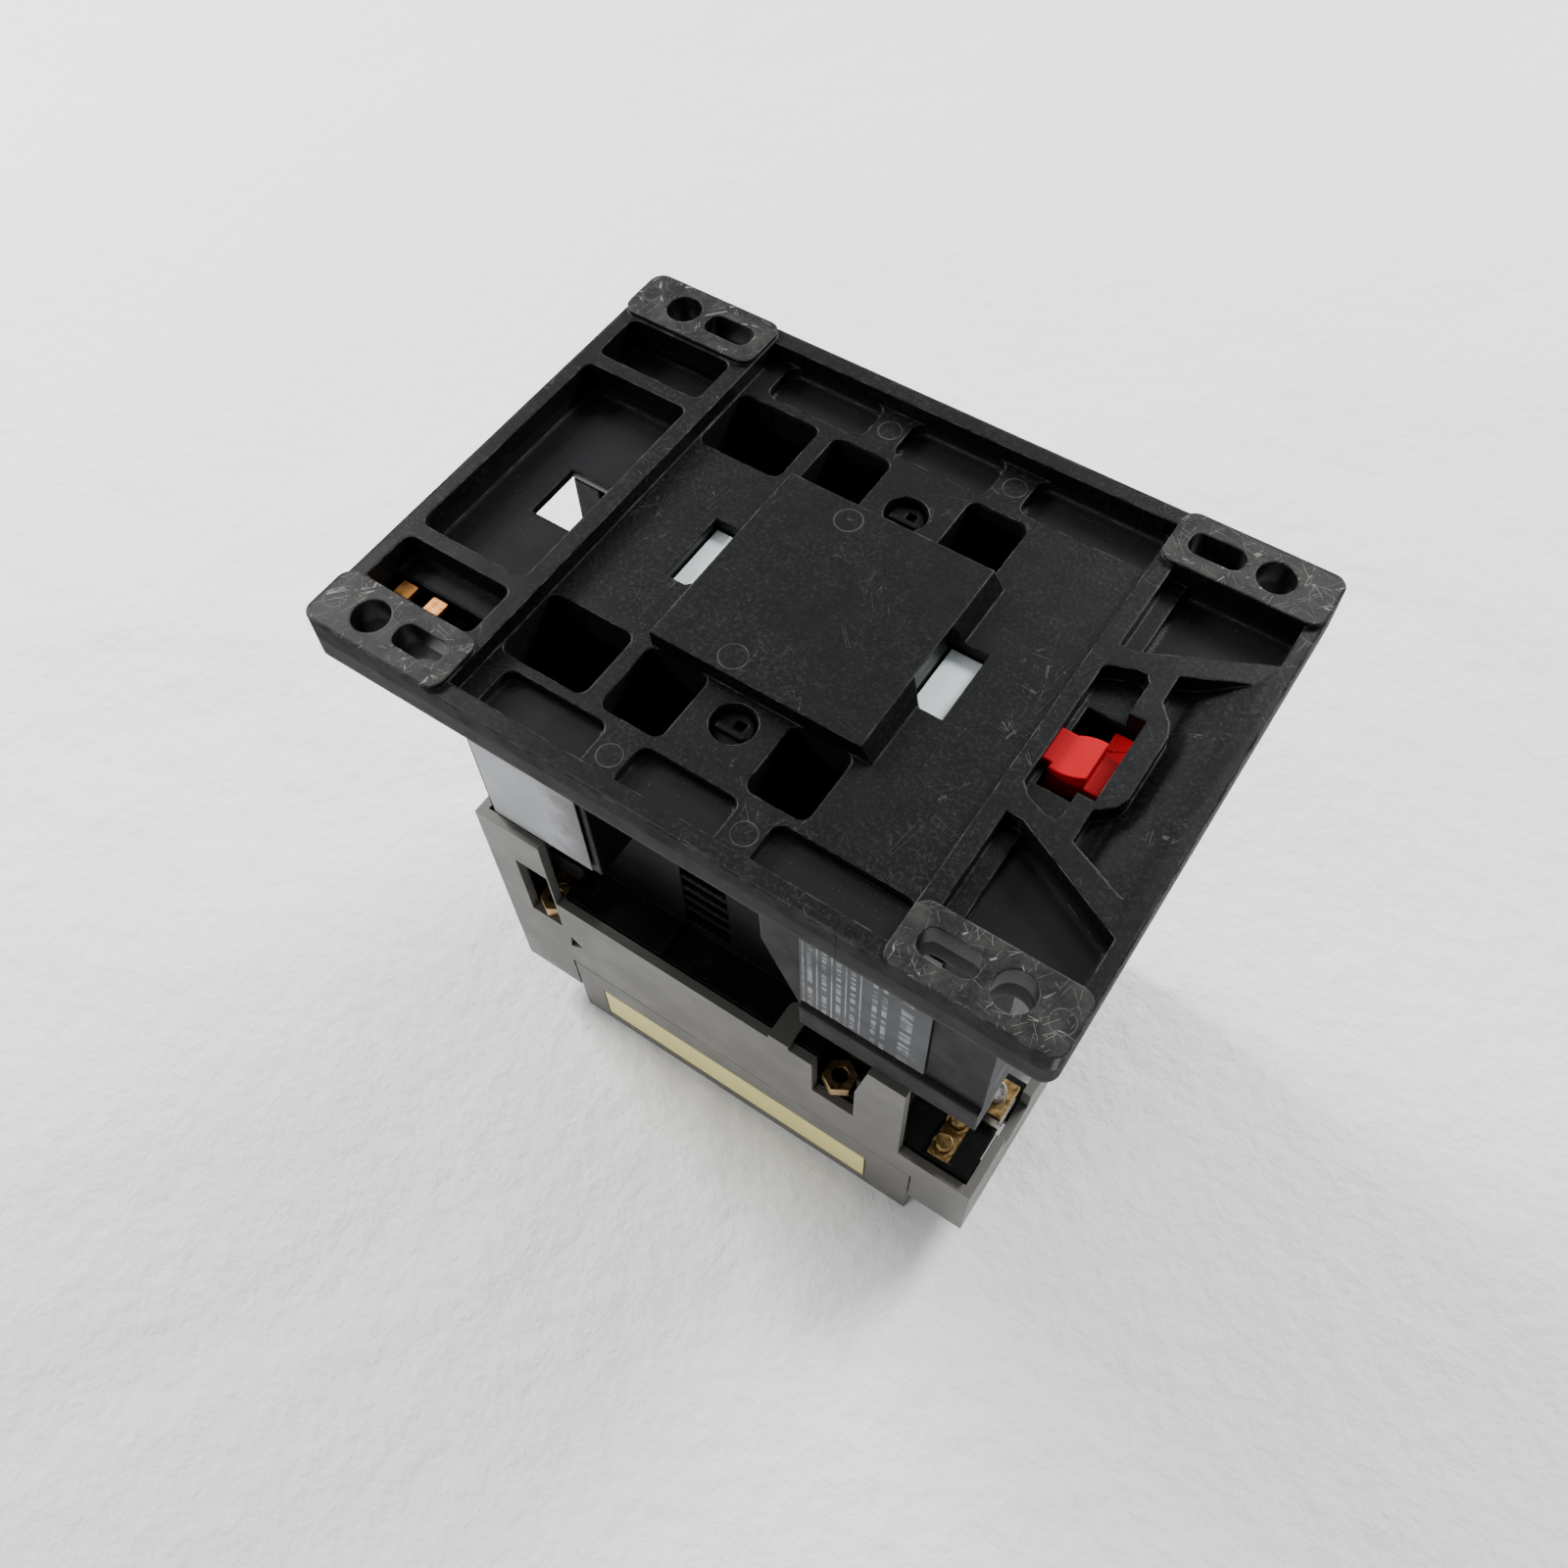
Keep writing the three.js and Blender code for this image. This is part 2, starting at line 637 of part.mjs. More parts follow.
function fixedContact(y, s, screwX) {
  const z = contacts.fixedZ;
  const { tipX } = contacts;
  return joined([
    block([s * 10.4, screwX + s * 3.4], [y - poles.barHalf, y + poles.barHalf], [z, z + 1.8]),
    block([s * (tipX - 2.4), s * (tipX + 2.4)], [y - 2.8, y + 2.8], [z - 0.9, z + 0.5]),
  ]).subtract(postZ(screwX, y, 2.15, [z - 2, z + 3], 14));
}

// the screw carries its square clamp plate
function terminalScrew(x, y) {
  const z = contacts.fixedZ;
  const shank = { radius: 1.95, z: [24, z + 4.4] };
  const screw = slottedScrew(x, y, shank, { radius: 3.3, z: [24, 27.2] }, 1.2);
  return screw.add(block([x - 3.3, x + 3.3], [y - 3.6, y + 3.6], [28, 29.4]));
}

// small side terminals: one brass strip with two screws at each corner
const aux = { y: [27.3, 32.6], z: 33, screwRadius: 1.6, headRadius: 2.4 };
aux.corners = [
  { x: -45.4, deck: [-50.3, -35] },
  { x: 48.2, deck: [38, 54.8] },
];

function auxStrip(corner, s) {
  const { x } = corner;
  const plateBody = block([x - 2.2, x + 2.2], [s * 24.8, s * 34.9], [aux.z, aux.z + 1.3]);
  const collars = aux.y.map((y) => postZ(x, s * y, 2.35, [aux.z + 1, aux.z + 2.2], 16));
  const holes = aux.y.map((y) => postZ(x, s * y, aux.screwRadius + 0.15, [aux.z - 1, aux.z + 3], 12));
  return cutBy(plateBody.add(joined(collars)), holes);
}

// black decks that the side terminals sit on, with clearance holes for their screws
function auxDecks() {
  return aux.corners.flatMap(({ x, deck }) => sides.map((s) => cutBy(
    block(deck, [s * 24, s * ledge.halfWidth], [aux.z - 3, aux.z - gap]),
    aux.y.map((y) => postZ(x, s * y, aux.screwRadius + gap, [aux.z - 4, aux.z + 1], 12)),
  )));
}

function auxScrew(x, y) {
  return slottedScrew(x, y, { radius: aux.screwRadius, z: [24, aux.z + 4] },
    { radius: aux.headRadius, z: [22, 24.4] }, 1);
}

// ---------------------------------------------------------------- frame and cover

function contactBlock() {
  const x = [-35.6, 38.6];
  const z = [cover.top + gap, ledge.top - ledge.thickness - gap];
  const body = block(x, [-ledge.halfWidth, ledge.halfWidth], z);
  const chambers = poleY.map((y) => block([-20, 20], [y - 8.4, y + 8.4], [z[0] - 1, contacts.fixedZ + 3]));
  const ductHalf = poles.barHalf + gap;
  const ducts = poleY.map((y) => block(
    [x[0] - 1, x[1] + 1], [y - ductHalf, y + ductHalf], [contacts.fixedZ - 1.5, contacts.fixedZ + 2.2],
  ));
  const reach = poles.pitch + cage.outerY + 1;
  const carrierWay = block([-8.5, 8.5], [-reach, reach], [z[0] - 1, z[1] + 1]);
  return cutBy(body, [...chambers, ...ducts, carrierWay, ...nutPockets()]).add(joined(auxDecks()));
}

function sideProfile() {
  const f = frontHousing;
  return [
    [f.left, f.bottom], [cover.left - gap, f.bottom], [cover.left - gap, cover.top + gap],
    [cover.right + gap, cover.top + gap], [cover.right + gap, f.bottom], [f.right, f.bottom],
    [f.right, f.endRim], [41.3, f.endRim], [41.3, f.rightShoulder], [33.6, f.rightShoulder],
    [31.2, ledge.top], [ledge.left - 0.4, ledge.top], [ledge.left - 0.4, f.shoulder], [f.left, f.shoulder],
  ];
}

function frontHousingShell() {
  const f = frontHousing;
  const across = [-f.halfWidth, f.halfWidth];
  const profile = shapeOf(sideProfile());
  const walls = sides.map((s) => prismY(profile, [s * (f.halfWidth - f.wall), s * f.halfWidth]));
  const ends = [
    block([f.left, f.left + f.wall], across, [f.bottom, f.shoulder]),
    block([f.right - f.wall, f.right], across, [f.bottom, f.endRim]),
  ];
  const floors = [
    block([f.left, cover.left - gap], across, [f.bottom, f.bottom + f.wall]),
    block([cover.right + gap, f.right], across, [f.bottom, f.bottom + f.wall]),
    block([cover.left - gap - f.wall, cover.left - gap], across, [f.bottom, cover.top]),
    block([cover.right + gap, cover.right + gap + f.wall], across, [f.bottom, cover.top]),
  ];
  const seatZ = [aux.z + 4 + gap, nuts.z[0] - gap];
  const nutSeats = sides.map((s) => block([-45.7, -38], [s * 30.4, s * f.halfWidth], seatZ));
  const tongues = sides.flatMap((s) => [
    prismZ(roundedRect([12.4, 16.8], [s * 29, s * f.halfWidth], 1.6), [ledge.top + gap, ledge.top + 1.5], 3),
    block([12.4, 16.8], [s * (f.halfWidth - f.wall), s * f.halfWidth], [ledge.top - 1, ledge.top + 1.5]),
  ]);
  const shell = joined([...walls, ...ends, ...floors, ...tongues]);
  return cutBy(shell, frontHousingCuts()).add(joined(nutSeats));
}

function frontHousingCuts() {
  const f = frontHousing;
  const nutNotches = sides.flatMap((s) => [
    block([-45.6, -38], [s * 30, s * (f.halfWidth + 1)], [overall.height - 92, f.shoulder - 12]),
    block([22, 31.2], [s * 30, s * (f.halfWidth + 1)], [overall.height - 94.2, ledge.top + 1]),
  ]);
  const cableWays = poleY.flatMap((y) => [
    block([f.left - 1, f.left + f.wall + 1], [y - 5, y + 5], [25.5, 40]),
    block([f.right - f.wall - 1, f.right + 1], [y - 5, y + 5], [25.5, f.endRim + 1]),
  ]);
  const screwWays = terminalX.flatMap((x) => poleY.map(
    (y) => block([x - 4.2, x + 4.2], [y - 4.8, y + 4.8], [f.bottom - 1, f.bottom + 3]),
  ));
  const vents = sides.map((s) => prismY(shapeOf([[-37.2, 30.5], [-33.8, 33], [-36.4, 35.6]]),
    [s * (f.halfWidth - f.wall - 1), s * (f.halfWidth + 1)]));
  return [...nutNotches, ...cableWays, ...screwWays, ...vents];
}

function frontCover() {
  const { left, right, halfWidth, top, wall } = cover;
  const shell = block([left, right], [-halfWidth, halfWidth], [0, top]);
  const hollow = block([left + wall, right - wall], [-halfWidth + wall, halfWidth - wall], [wall, top + 1]);
  const strips = sides.map((s) => block(
    [-31.5, 34.6], [s * (halfWidth - 0.9), s * (halfWidth + 1)], [3.2, 14.8],
  ));
  const indicator = block([-4, 4], [-7, 7], [-1, wall + 1]);
  const recess = block([left + 6, right - 6], [-halfWidth + 8, halfWidth - 8], [-1, 0.6]);
  return cutBy(shell, [hollow, ...strips, indicator, recess]);
}

// thin printed labels on the near flank of the upper body
function flankLabel(x, z) {
  const face = coreHousing.halfWidth + gap;
  return block(x, [-face - 0.35, -face], z);
}

function markingStrip(s) {
  return block([-31.2, 34.3], [s * (cover.halfWidth - 0.6), s * cover.halfWidth], [3.5, 14.5]);
}

// ---------------------------------------------------------------- assembly

add('rear_plate', rearPlate(), 'blackPlastic');
add('din_latch', dinLatch(), 'redPlastic');
add('latch_spring', latchSpring(), 'steel');
sides.forEach((s, i) => add(`plate_stud_${i + 1}`, plateStud(s * stud.y), 'blackPlastic'));

add('core_housing', coreHousingShell(), 'blackPlastic');
add('fixed_core', eCore([110, magnet.rear], magnet.face), 'steel');
add('coil_bobbin', coilBobbin(), 'palePlastic');
add('coil_winding', coilWinding(), 'copper');
coilTab.x.forEach((x, i) => add(`coil_tab_${i + 1}`, coilTabStrip(x), 'copper'));
add('coil_terminal_block', coilTerminalBlock(), 'blackPlastic');
add('armature', armatureBar(), 'steel');
sides.forEach((s, i) => add(`return_spring_${i + 1}`, returnSpring(s), 'steel'));
add('contact_carrier', contactCarrier(), 'blackPlastic');

poleY.forEach((y, i) => {
  add(`bridge_${i + 1}`, bridge(y), 'silverContact');
  add(`contact_spring_${i + 1}`, contactSpring(y), 'steel');
  sides.forEach((s, j) => {
    const number = i * 2 + j + 1;
    add(`fixed_contact_${number}`, fixedContact(y, s, terminalX[j]), 'brass');
    add(`terminal_screw_${number}`, terminalScrew(terminalX[j], y), 'steel');
  });
});

aux.corners.forEach((corner, i) => sides.forEach((s, j) => {
  const number = i * 2 + j + 1;
  add(`aux_strip_${number}`, auxStrip(corner, s), 'brass');
  aux.y.forEach((y, k) => add(`aux_screw_${number}_${k + 1}`, auxScrew(corner.x, s * y), 'brass'));
}));

add('contact_block', contactBlock(), 'blackPlastic');
add('front_housing', frontHousingShell(), 'greyPlastic');
add('front_cover', frontCover(), 'greyPlastic');
sides.forEach((s, i) => add(`marking_strip_${i + 1}`, markingStrip(s), 'yellowPlastic'));
add('wiring_label', flankLabel([-48.2, -25.5], [73, 117]), 'silverLabel');
add('rating_label', flankLabel([19, 43.2], [73, 117]), 'ratingLabel');
nuts.x.forEach((x, i) => sides.forEach((s, j) => {
  add(`hex_nut_${i * 2 + j + 1}`, hexNut(x, s * nuts.y), 'brass');
}));

export default group;
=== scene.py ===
"""Looks for the three-pole rail contactor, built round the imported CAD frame."""

import json
import math

import bpy
from mathutils import Matrix, Vector


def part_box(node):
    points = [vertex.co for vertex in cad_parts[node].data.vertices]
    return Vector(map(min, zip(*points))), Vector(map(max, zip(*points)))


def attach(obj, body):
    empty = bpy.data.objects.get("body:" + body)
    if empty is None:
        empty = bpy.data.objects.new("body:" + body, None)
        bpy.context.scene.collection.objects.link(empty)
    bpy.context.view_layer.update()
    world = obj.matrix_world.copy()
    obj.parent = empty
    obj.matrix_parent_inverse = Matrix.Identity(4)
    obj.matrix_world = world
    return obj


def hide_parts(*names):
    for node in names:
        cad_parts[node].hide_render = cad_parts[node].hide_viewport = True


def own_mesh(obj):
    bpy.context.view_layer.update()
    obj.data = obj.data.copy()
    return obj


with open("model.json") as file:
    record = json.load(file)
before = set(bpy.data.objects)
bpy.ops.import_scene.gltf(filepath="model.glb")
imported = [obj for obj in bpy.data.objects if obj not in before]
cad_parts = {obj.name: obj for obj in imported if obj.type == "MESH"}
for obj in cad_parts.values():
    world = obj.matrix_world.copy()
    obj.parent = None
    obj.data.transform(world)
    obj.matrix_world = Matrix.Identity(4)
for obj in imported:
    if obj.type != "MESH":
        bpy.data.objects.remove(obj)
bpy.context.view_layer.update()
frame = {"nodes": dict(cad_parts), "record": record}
nodes = frame["nodes"]

MM = 0.001
X = 0
Y = 1
Z = 2
RAIL_SEAT_DEPTH = 4.1
PLATE_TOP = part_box("rear_plate")[1].z / MM
PLATE_HALF_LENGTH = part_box("rear_plate")[1].x / MM
PLATE_HALF_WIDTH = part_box("rear_plate")[1].y / MM
RAIL_FLOOR = PLATE_TOP - RAIL_SEAT_DEPTH


# ---------------------------------------------------------------- material helpers

# the colour sockets of a Mix node
MIX_A = 6
MIX_B = 7
MIX_RESULT = 2

EDGE_SAMPLES = 4
FILLET_SAMPLES = 6
EDGE_START = 0.02    # 1 less the cosine of the bend at which an edge begins to show
STRIPE_CORE = 0.6    # the part of a stripe's half width that is fully marked
RING_CORE = 0.4      # the same for the line of a ring


class Graph:
    """A material being built: short calls that add a node and return its output."""

    def __init__(self, name):
        self.material = bpy.data.materials.new(name)
        self.material.use_nodes = True
        self.tree = self.material.node_tree
        self.shader = self.tree.nodes["Principled BSDF"]
        coords = self.tree.nodes.new("ShaderNodeTexCoord")
        self.position = coords.outputs["Object"]

    def link(self, source, target):
        """Feeds a socket from another socket, or sets it to a plain value."""
        if isinstance(source, bpy.types.NodeSocket):
            self.tree.links.new(source, target)
        else:
            target.default_value = source

    def math(self, operation, a, b=0.0):
        node = self.tree.nodes.new("ShaderNodeMath")
        node.operation = operation
        self.link(a, node.inputs[0])
        self.link(b, node.inputs[1])
        return node.outputs[0]

    def product(self, first, *others):
        total = first
        for factor in others:
            total = self.math("MULTIPLY", total, factor)
        return total

    def any_of(self, masks):
        total = 0.0
        for mask in masks:
            total = self.math("MAXIMUM", mask, total)
        return total

    def mapped(self, scale=(1, 1, 1), rotation=(0, 0, 0), source=None):
        node = self.tree.nodes.new("ShaderNodeMapping")
        self.link(source or self.position, node.inputs["Vector"])
        node.inputs["Scale"].default_value = scale
        node.inputs["Rotation"].default_value = rotation
        return node.outputs[0]

    def noise(self, scale, detail=3.0, roughness=0.5, distortion=0.0, source=None):
        node = self.tree.nodes.new("ShaderNodeTexNoise")
        self.link(source or self.position, node.inputs["Vector"])
        node.inputs["Scale"].default_value = scale
        node.inputs["Detail"].default_value = detail
        node.inputs["Roughness"].default_value = roughness
        node.inputs["Distortion"].default_value = distortion
        return node.outputs["Fac"]

    def cells(self, scale, source):
        """Distance to the nearest of a scatter of points."""
        node = self.tree.nodes.new("ShaderNodeTexVoronoi")
        self.link(source, node.inputs["Vector"])
        node.inputs["Scale"].default_value = scale
        return node.outputs["Distance"]

    def ramp(self, value, low, high, to_low=0.0, to_high=1.0):
        node = self.tree.nodes.new("ShaderNodeMapRange")
        node.interpolation_type = "SMOOTHSTEP"
        self.link(value, node.inputs["Value"])
        node.inputs["From Min"].default_value = low
        node.inputs["From Max"].default_value = high
        node.inputs["To Min"].default_value = to_low
        node.inputs["To Max"].default_value = to_high
        return node.outputs["Result"]

    def mix(self, factor, a, b):
        node = self.tree.nodes.new("ShaderNodeMix")
        node.data_type = "RGBA"
        self.link(factor, node.inputs["Factor"])
        self.link(colour(a), node.inputs[MIX_A])
        self.link(colour(b), node.inputs[MIX_B])
        return node.outputs[MIX_RESULT]

    def layered(self, base, layers):
        """The base colour with layers of mask, strength and colour laid over it in turn."""
        for mask, strength, shade in layers:
            base = self.mix(self.product(mask, strength), base, shade)
        return base

    def axis(self, index, source=None):
        node = self.tree.nodes.new("ShaderNodeSeparateXYZ")
        self.link(source or self.position, node.inputs[0])
        return node.outputs[index]

    def normal_z(self):
        geometry = self.tree.nodes.new("ShaderNodeNewGeometry")
        return self.axis(Z, geometry.outputs["Normal"])

    def rounded_normal(self, radius, samples):
        """The surface normal as if sharp edges and corners were rounded."""
        node = self.tree.nodes.new("ShaderNodeBevel")
        node.samples = samples
        self.link(radius, node.inputs["Radius"])
        return node.outputs[0]

    def edge_mask(self, radius, full):
        """1 along sharp outer and inner edges, 0 on flats."""
        geometry = self.tree.nodes.new("ShaderNodeNewGeometry")
        dot = self.tree.nodes.new("ShaderNodeVectorMath")
        dot.operation = "DOT_PRODUCT"
        self.link(self.rounded_normal(radius, EDGE_SAMPLES), dot.inputs[0])
        self.link(geometry.outputs["True Normal"], dot.inputs[1])
        return self.ramp(self.math("SUBTRACT", 1.0, dot.outputs["Value"]), EDGE_START, full)

    def bump(self, height, distance, strength, rounding=0.0):
        """Fine relief; a rounding also shades sharp edges and corners as fillets."""
        node = self.tree.nodes.new("ShaderNodeBump")
        if rounding:
            self.link(self.rounded_normal(rounding, FILLET_SAMPLES), node.inputs["Normal"])
        node.inputs["Strength"].default_value = strength
        node.inputs["Distance"].default_value = distance
        self.link(height, node.inputs["Height"])
        self.link(node.outputs[0], self.shader.inputs["Normal"])

    def stripe(self, x, half):
        """1 in a narrow band round this X, in millimetres."""
        offset = self.math("ABSOLUTE", self.math("SUBTRACT", self.axis(X), x * MM))
        return self.ramp(offset, half * MM, half * STRIPE_CORE * MM)

    def ring(self, centre, radius, half):
        """1 on a thin circle in the XY plane, in millimetres."""
        across = self.math("SUBTRACT", self.axis(X), centre[X] * MM)
        along = self.math("SUBTRACT", self.axis(Y), centre[Y] * MM)
        square = self.math("ADD", self.product(across, across), self.product(along, along))
        offset = self.math("SUBTRACT", self.math("SQRT", square), radius * MM)
        return self.ramp(self.math("ABSOLUTE", offset), half * MM, half * RING_CORE * MM)

    def beyond(self, index, half):
        """1 further than this from the centre along one axis, in millimetres."""
        return self.ramp(self.math("ABSOLUTE", self.axis(index)), (half - 0.3) * MM, half * MM)

    def from_height(self, height):
        """1 at this height in millimetres and above, fading out just below it."""
        return self.ramp(self.axis(Z), (height - 0.5) * MM, (height - 0.2) * MM)

    def finish(self, base, roughness, metallic=0.0, ior=1.5):
        self.link(colour(base), self.shader.inputs["Base Color"])
        self.link(roughness, self.shader.inputs["Roughness"])
        self.link(metallic, self.shader.inputs["Metallic"])
        self.shader.inputs["IOR"].default_value = ior
        return self.material


def colour(value):
    """Three plain numbers become a colour; sockets pass through."""
    if isinstance(value, tuple) and len(value) == 3:
        return (*value, 1.0)
    return value


SCRATCH_ANGLES = (12, 47, 76, 101, 128, 163)
SCRATCH_ALONG = 30
SCRATCH_ACROSS = 430
SCRATCH_WIDTH = 0.0045


def scratches(graph):
    """Thin broken scratches in the XY plane, one family for each angle.

    Each is a contour of a stretched noise, so it is slightly bent and of even width.
    Every family has scales of its own, so that no two share a pattern."""
    families = []
    for i, angle in enumerate(SCRATCH_ANGLES):
        turned = graph.mapped(rotation=(0, 0, math.radians(angle)))
        stretched = graph.mapped((SCRATCH_ALONG, SCRATCH_ACROSS, 40 + 13 * i), source=turned)
        height = graph.noise(1.0, 1.0, 0.4, source=stretched)
        offset = graph.math("ABSOLUTE", graph.math("SUBTRACT", height, 0.5))
        line = graph.ramp(offset, SCRATCH_WIDTH, SCRATCH_WIDTH * 0.3)
        shown = graph.ramp(graph.noise(330 + 47 * i, 1.0), 0.54, 0.58)
        families.append(graph.product(line, shown))
    return graph.any_of(families)


def flecks(graph, scale, rarity):
    """Short pale filler flecks, scattered one to a cell."""
    stretched = graph.mapped((1, 0.45, 1), (0, 0, 0.6))
    spot = graph.ramp(graph.cells(scale, stretched), 0.20, 0.12)
    pick = graph.ramp(graph.noise(scale * 0.8, 0.0), rarity, rarity + 0.04)
    return graph.product(spot, pick)


# ---------------------------------------------------------------- plate

# half spacings along X and Y, and the radius, of the two sets of four ejector marks
MIRRORED_MARKS = ((62, 40.3, 1.8), (11.8, 38.2, 2.0))
EJECTOR_MARKS = [((sx * x, sy * y), radius)
                 for x, y, radius in MIRRORED_MARKS for sx in (-1, 1) for sy in (-1, 1)]
EJECTOR_MARKS += [((-5.5, 15.5), 2.3), ((-5.5, -15.9), 2.3)]
EJECTOR_LINE = 0.14
SIDE_SEAMS = (-31.6, 31.6)
SEAM_HALF = 0.16
SIDE_SKIN = 0.3
BORES_BEYOND = (41, 36.5)    # about where the fixing holes begin, from the centre in X and Y
EDGE_FILLET = 0.5
POCKET_FILLET = 1.5

CHARCOAL = (0.0016, 0.0018, 0.0022)
CHARCOAL_LIGHT = (0.0030, 0.0032, 0.0036)
# painted sheen: the pockets are painted lighter in place of the light their walls and floors reflect
PAINTED_POCKET_SHEEN = (0.010, 0.010, 0.0108)
RUBBED_SIDE = (0.02, 0.0195, 0.019)
GRAIN_GREY = (0.03, 0.03, 0.031)
FLECK_GREY = (0.13, 0.13, 0.13)
WORN_PAD = (0.035, 0.034, 0.032)
LIGHT_MARK = (0.14, 0.14, 0.14)
PAD_SCRATCH = (0.27, 0.255, 0.23)
WORN_EDGE = (0.2, 0.19, 0.17)
RING_GREY = (0.06, 0.06, 0.06)
SEAM_BLACK = (0.001, 0.001, 0.001)


def plate_regions(g):
    """Masks for the parts of the plate that differ in wear or finish."""
    on_pad = g.from_height(PLATE_TOP)
    on_top = g.from_height(RAIL_FLOOR)
    in_pocket = g.math("SUBTRACT", 1.0, on_top)
    ends = g.beyond(X, PLATE_HALF_LENGTH - SIDE_SKIN)
    long_sides = g.beyond(Y, PLATE_HALF_WIDTH - SIDE_SKIN)
    return {
        "on_pad": on_pad,
        "on_top": on_top,
        "in_pocket": in_pocket,
        "outside": g.any_of([ends, long_sides]),
        "bores": g.product(in_pocket, g.beyond(X, BORES_BEYOND[X]), g.beyond(Y, BORES_BEYOND[Y])),
        "faces_up": g.product(g.ramp(g.normal_z(), 0.7, 0.95), on_top),
        "worn": g.product(on_pad, g.ramp(g.noise(230, 5, 0.7), 0.36, 0.7, 0.15, 0.8)),
    }


def plate_layers(g, region):
    """The plate's marks from the lowest to the uppermost, as mask, strength and colour."""
    patches = g.ramp(g.noise(50, 4), 0.3, 0.7, 0.3, 1.0)
    fleck = g.product(flecks(g, 2800, 0.56), patches)
    grain = g.product(g.ramp(g.noise(1500, 4, 0.7), 0.46, 0.72), patches, region["on_top"])
    rubbed = g.product(region["outside"], g.ramp(g.noise(130, 5, 0.7), 0.35, 0.7))
    scuffs = scratches(g)
    light_marks = g.product(scuffs, g.ramp(g.noise(70, 2), 0.5, 0.62), region["faces_up"])
    pad_scratches = g.product(scuffs, region["on_pad"])
    edge = g.product(g.edge_mask(0.35 * MM, 0.22), g.ramp(g.noise(330, 4), 0.42, 0.68))
    rings = g.any_of([g.ring(centre, radius, EJECTOR_LINE) for centre, radius in EJECTOR_MARKS])
    rings = g.product(rings, g.ramp(g.noise(300, 3), 0.3, 0.6, 0.2, 0.7), region["faces_up"])
    seams = g.any_of([g.stripe(x, SEAM_HALF) for x in SIDE_SEAMS])
    seams = g.product(seams, g.ramp(g.normal_z(), 0.3, 0.1))
    return [
        # painted sheen: the pockets painted lighter
        (region["in_pocket"], 0.7, PAINTED_POCKET_SHEEN),
        (rubbed, 1.0, RUBBED_SIDE),
        (grain, 0.5, GRAIN_GREY),
        (fleck, 0.35, FLECK_GREY),
        (region["worn"], 1.0, WORN_PAD),
        (light_marks, 0.25, LIGHT_MARK),
        (pad_scratches, 0.5, PAD_SCRATCH),
        (edge, 0.5, WORN_EDGE),
        (rings, 1.0, RING_GREY),
        (seams, 1.0, SEAM_BLACK),
    ]


def plate_roughness(g, region):
    """Satin on the flats, glossier in the pockets, duller on worn pads, outer sides and bores."""
    dull = g.any_of([region["outside"], region["bores"]])
    roughness = g.ramp(g.noise(240, 4), 0.3, 0.7, 0.36, 0.43)
    for mask, change in ((region["worn"], 0.25), (region["in_pocket"], -0.12), (dull, 0.4)):
        roughness = g.math("ADD", roughness, g.product(mask, change))
    return roughness


def plate_plastic():
    """Charcoal moulded plate: speckled everywhere, with scratched grey pads, worn edges and a painted
    sheen that makes the pockets lighter.
    """
    g = Graph("plate_plastic")
    region = plate_regions(g)
    base = g.mix(g.noise(55, 4, 0.6), CHARCOAL, CHARCOAL_LIGHT)
    base = g.layered(base, plate_layers(g, region))
    extra = g.product(region["in_pocket"], (POCKET_FILLET - EDGE_FILLET) * MM)
    g.bump(g.noise(1500, 3), 0.02 * MM, 0.5, g.math("ADD", EDGE_FILLET * MM, extra))
    return g.finish(base, plate_roughness(g, region), ior=1.24)


# ---------------------------------------------------------------- other plastics

def black_plastic():
    """Plain black moulding with a soft sheen and light dust."""
    g = Graph("black_plastic")
    base = g.mix(g.noise(45, 3), (0.0035, 0.0035, 0.0038), (0.0056, 0.0056, 0.006))
    settled = g.ramp(g.noise(130, 5, 0.7), 0.55, 0.85, 0.0, 0.35)
    dust = g.product(settled, g.ramp(g.normal_z(), 0.2, 0.9))
    base = g.layered(base, [
        (dust, 1.0, (0.06, 0.058, 0.055)),
        (flecks(g, 1300, 0.62), 0.3, (0.12, 0.12, 0.12)),
    ])
    g.bump(g.noise(900, 2), 0.015 * MM, 0.5, 0.7 * MM)
    return g.finish(base, g.ramp(g.noise(160, 4), 0.3, 0.7, 0.38, 0.5), ior=1.16)


def grey_plastic():
    """Grey housing plastic: fine texture, faint stains and rubbed edges."""
    g = Graph("grey_plastic")
    base = g.mix(g.noise(38, 4, 0.6), (0.086, 0.083, 0.073), (0.114, 0.110, 0.097))
    stain = g.ramp(g.noise(85, 6, 0.7), 0.62, 0.8)
    edge = g.product(g.edge_mask(0.3 * MM, 0.25), g.ramp(g.noise(400, 4), 0.4, 0.7))
    base = g.layered(base, [
        (stain, 0.5, (0.08, 0.078, 0.074)),
        (edge, 0.5, (0.3, 0.3, 0.3)),
    ])
    g.bump(g.noise(1400, 2), 0.02 * MM, 0.6)
    return g.finish(base, g.ramp(g.noise(120, 4), 0.3, 0.7, 0.42, 0.55))


def pale_plastic():
    """Pale grey-green coil former."""
    g = Graph("pale_plastic")
    base = g.mix(g.noise(60, 3), (0.68, 0.76, 0.76), (0.75, 0.82, 0.82))
    stain = g.ramp(g.noise(240, 5, 0.7), 0.64, 0.8)
    base = g.layered(base, [(stain, 0.3, (0.35, 0.37, 0.37))])
    g.bump(g.noise(1200, 2), 0.01 * MM, 0.5)
    return g.finish(base, g.ramp(g.noise(150, 3), 0.3, 0.7, 0.4, 0.5))


def red_plastic():
    """Bright red latch plastic, paler at its edges."""
    g = Graph("red_plastic")
    base = g.mix(g.noise(160, 3), (0.35, 0.001, 0.005), (0.42, 0.001, 0.008))
    base = g.layered(base, [(g.edge_mask(0.3 * MM, 0.3), 0.5, (0.55, 0.015, 0.03))])
    g.bump(g.noise(1100, 2), 0.012 * MM, 0.5, 0.5 * MM)
    return g.finish(base, g.ramp(g.noise(200, 3), 0.3, 0.7, 0.4, 0.5), ior=1.2)


